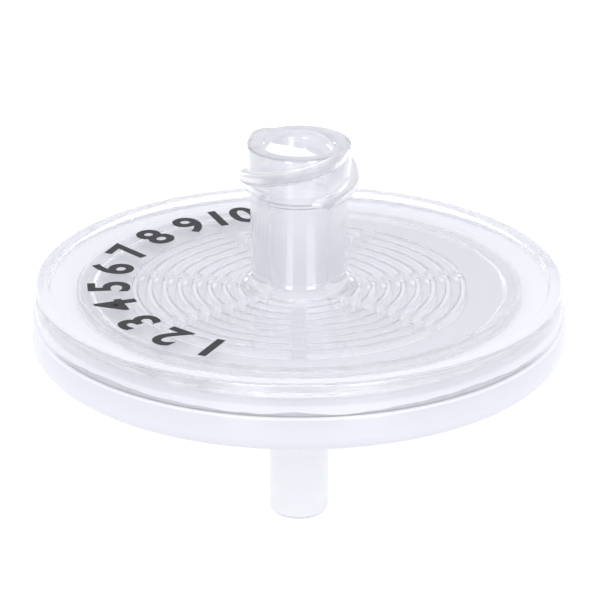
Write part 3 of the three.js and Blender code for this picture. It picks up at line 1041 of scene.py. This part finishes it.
def rib_marks_group():
    """Where ribs and channels lie, as masks.

    These are the channels, the edges and crests of the ribs, the pale ends of the ribs along a
    channel at the sides, and the dark dashes between the ends in the channel in front, where
    light and shade are painted on the film.
    """
    build, _, shown = values_group(
        "rib_marks", {}, ("Channels", "Edges", "Crests", "Ends", "Dashes")
    )
    radius = build.radius()
    # How far a point is from the middle of the nearest rib.
    ring = build.math("DIVIDE", build.math("SUBTRACT", radius, FIRST_RIB_RADIUS), RIB_PITCH)
    apart = build.math("MULTIPLY", build.math("PINGPONG", ring, 0.5), RIB_PITCH)
    first = build.math("GREATER_THAN", ring, -0.5)
    last = build.math("LESS_THAN", ring, RIB_COUNT - 0.5)
    ribbed = build.math("MULTIPLY", first, last)
    # How far it is from the middle of the nearest channel.
    turn = build.math("ARCTAN2", build.along("Y"), build.along("X"))
    turn = build.math("SUBTRACT", turn, math.radians(FRONT_ANGLE))
    turn = build.math("ADD", turn, 2 * math.pi)
    off_channel = build.math("PINGPONG", turn, math.pi / CHANNEL_COUNT)
    across = build.math("MULTIPLY", radius, build.math("SINE", off_channel))
    whole = build.ramp(across, MARK_GAP - RIB_MARK, MARK_GAP)
    edges = build.near(apart, RIB_WIDTH / 2, 0.0, RIB_MARK)
    crests = build.ramp(apart, RIB_WIDTH / 2 - RIB_MARK, RIB_WIDTH / 2, 1.0, 0.0)
    # A painted highlight, the pale end, lies in the channel beside the rib, and is a little wider
    # than the rib.
    near_rib = build.ramp(apart, DASH_LENGTH / 2 - RIB_MARK, DASH_LENGTH / 2, 1.0, 0.0)
    in_channel = build.ramp(across, DASH_WIDTH / 2 - RIB_MARK, DASH_WIDTH / 2 + RIB_MARK, 1.0, 0.0)
    # Painted shade on the edges and painted light on the ends show most to the sides,
    # and the painted dark dashes only in front.
    side = build.math("DIVIDE", build.math("ABSOLUTE", build.along("X")), radius)
    masks = {
        "Channels": (build.math("SUBTRACT", 1.0, whole),),
        "Edges": (whole, edges, build.ramp(side, *EDGE_SIDES, EDGE_IN_FRONT, 1.0)),
        "Crests": (whole, crests),
        "Ends": (in_channel, near_rib, build.ramp(side, *END_SIDES)),
        "Dashes": (in_channel, crests, build.ramp(side, *DASH_SIDES, 1.0, 0.0)),
    }
    for label, factors in masks.items():
        mask = ribbed
        for factor in factors:
            mask = build.math("MULTIPLY", mask, factor)
        build.set(shown, label, mask)
    return build.tree


def membrane_film():
    """Matt film with painted shade along the ribs' edges, and painted light under them and at their
    ends.
    """
    made, build = new_material("filter_membrane")
    fibres = build.noise(FIBRES_PER_MM, 4.0)
    bump = build.add("ShaderNodeBump", {"Height": fibres, "Distance": FIBRE_BUMP})
    rib_light = build.add("ShaderNodeGroup", node_tree=rib_marks_group()).outputs
    skin = build.add("ShaderNodeBsdfPrincipled", {
        "Base Color": build.tinted(FILM_DEEP, (
            (build.ramp(fibres, *FIBRE_RANGE), FILM_LIGHT),
            (rib_light["Channels"], FILM_CHANNEL_SHADE),
            (rib_light["Crests"], FILM_CREST_LIGHT),
            (rib_light["Edges"], FILM_EDGE_SHADE),
            (rib_light["Ends"], FILM_END_HIGHLIGHT),
            (rib_light["Dashes"], FILM_EDGE_SHADE),
        )),
        "Roughness": FILM_ROUGHNESS,
        "Normal": bump.outputs[0],
    })
    build.shown_as(skin.outputs[0])
    return made


def black_ink():
    """Ink that lies unevenly thick."""
    made, build = new_material("black_ink")
    grain = build.noise(GRAINS_PER_MM, 3.0)
    bump = build.add("ShaderNodeBump", {"Height": grain, "Distance": GRAIN_BUMP})
    skin = build.add("ShaderNodeBsdfPrincipled", {
        "Base Color": build.tinted(INK_DEEP, ((build.ramp(grain, *GRAIN_RANGE), INK_THIN),)),
        "Roughness": build.math("MULTIPLY_ADD", grain, INK_MOTTLE, INK_ROUGHNESS),
        "Normal": bump.outputs[0],
    })
    build.shown_as(skin.outputs[0])
    return made


# ---------------------------------------------------------------- studio

def camera():
    """A long lens in front of the filter, looking down on it."""
    data = bpy.data.cameras.new("camera")
    data.sensor_width = CAMERA_SENSOR
    data.lens = CAMERA_LENS
    data.shift_x, data.shift_y = CAMERA_SHIFT
    data.clip_start = CAMERA_NEAR
    eye = bpy.data.objects.new("camera", data)
    bpy.context.scene.collection.objects.link(eye)
    tilt = math.radians(CAMERA_ELEVATION)
    away = Vector((0, -math.cos(tilt), math.sin(tilt)))
    eye.location = Vector((0, 0, CAMERA_AIM_Z)) + away * CAMERA_DISTANCE
    eye.rotation_euler = (math.pi / 2 - tilt, 0, 0)
    bpy.context.scene.camera = eye


def softbox(name, azimuth, elevation, distance, size, power):
    """A square lamp that faces the filter. Azimuth 0 is the front, and it grows to the right."""
    data = bpy.data.lights.new(name, "AREA")
    data.shape = "RECTANGLE"
    data.size, data.size_y = size
    data.energy = power
    lamp = bpy.data.objects.new(name, data)
    bpy.context.scene.collection.objects.link(lamp)
    a, e = math.radians(azimuth), math.radians(elevation)
    way = Vector((math.sin(a) * math.cos(e), -math.cos(a) * math.cos(e), math.sin(e)))
    lamp.location = Vector((0, 0, CAMERA_AIM_Z)) + way * distance
    lamp.rotation_euler = way.to_track_quat("Z", "Y").to_euler()
    lamp.visible_camera = False
    return lamp


def sky():
    """An even pale sky that the camera sees as white."""
    world = bpy.data.worlds.new("sky")
    bpy.context.scene.world = world
    world.use_nodes = True
    world.node_tree.nodes.clear()
    build = Tree(world.node_tree)
    path = build.add("ShaderNodeLightPath").outputs
    way = build.add("ShaderNodeTexCoord").outputs["Generated"]
    way = build.add("ShaderNodeSeparateXYZ", {0: way}).outputs
    cast = build.tinted(SKY_AROUND, ((build.ramp(way["Z"], 0.0, SKY_HIGH), SKY_ABOVE),))
    # Gloss mirrors a greyer sky, and clear plastic shows grey to both sides.
    aside = build.ramp(build.math("ABSOLUTE", way["X"]), *SKY_SIDES)
    unseen = build.math("SUBTRACT", 1.0, path["Is Camera Ray"])
    backdrop = build.tinted(WHITE, (
        (path["Is Glossy Ray"], SKY_MIRRORED),
        (build.math("MULTIPLY", aside, unseen), SKY_ASIDE),
    ))
    # The backdrop shows to the camera, off gloss and through clear plastic.
    seen = build.math("MAXIMUM", path["Is Camera Ray"], path["Is Glossy Ray"])
    seen = build.math("MAXIMUM", seen, path["Is Transmission Ray"])
    light = build.add("ShaderNodeBackground", {"Color": build.tinted(cast, ((seen, backdrop),))})
    build.set(build.add("ShaderNodeOutputWorld"), "Surface", light.outputs[0])


def floor():
    """A white floor below the filter, with a greyer round middle that only clear plastic shows."""
    outline = rounded([
        (0, FLOOR_Z, 0),
        (FLOOR_RADIUS, FLOOR_Z, 0),
        (FLOOR_RADIUS, FLOOR_Z - MM, 0),
        (0, FLOOR_Z - MM, 0),
    ])
    piece = placed("floor", revolved("floor", outline, FLOOR_SEGMENTS))
    made, build = new_material("white_floor")
    matte = build.add("ShaderNodeBsdfDiffuse", {"Color": FLOOR_COLOUR}).outputs[0]
    path = build.add("ShaderNodeLightPath").outputs
    past_card = build.ramp(build.radius(), CARD_RADIUS, CARD_FADE_RADIUS)
    through = build.math("MULTIPLY", path["Is Transmission Ray"], past_card)
    shown = build.math("MAXIMUM", path["Is Camera Ray"], through)
    glow = build.add("ShaderNodeEmission", {
        "Strength": build.math("MULTIPLY_ADD", shown, FLOOR_SHOWN - FLOOR_GLOW, FLOOR_GLOW),
    }).outputs[0]
    build.shown_as(build.add("ShaderNodeAddShader", {0: matte, 1: glow}).outputs[0])
    piece.data.materials.append(made)


def studio():
    """Camera, sky, floor and lamps."""
    camera()
    sky()
    floor()
    softbox(*OVERHEAD_SOFTBOX)
    softbox(*FRONT_FILL).visible_glossy = False
    for values in REFLECTED_SOFTBOXES:
        softbox(*values).visible_diffuse = False
    bpy.context.scene.view_settings.view_transform = "Standard"


# ---------------------------------------------------------------- everything

def build_filter():
    """Every piece of the filter, with its materials."""
    ribs = rib_tree()
    marks = moulding_group()
    clear_half = moulded_half_tree("clear_half", [ribs, thread_tree()])
    plate = clear_plastic(
        "clear_plastic", marks, PLATE_TINT, PLATE_CLARITY, PLATE_HAZE, PLATE_COAT
    )
    inlet = clear_plastic(
        "clear_plastic_inlet", marks, INLET_TINT, INLET_CLARITY, INLET_HAZE, INLET_COAT
    )
    inlet_housing(clear_half, plate, inlet)
    milky_half = moulded_half_tree("milky_half", [ribs])
    thick = milky_plastic(
        "milky_plastic", marks, SKIRT_LIGHT, SKIRT_DEEP, SKIRT_CLARITY, SKIRT_HAZE
    )
    thin_and_lit = milky_plastic(
        "milky_plastic_outlet", marks, OUTLET_PAINTED_LIGHT, OUTLET_PAINTED_DEEP, OUTLET_CLARITY, OUTLET_HAZE
    )
    outlet_housing(milky_half, thick, thin_and_lit)
    weld_bead(weld_melt())
    membrane(membrane_film())
    printed_numbers(black_ink())


studio()
build_filter()
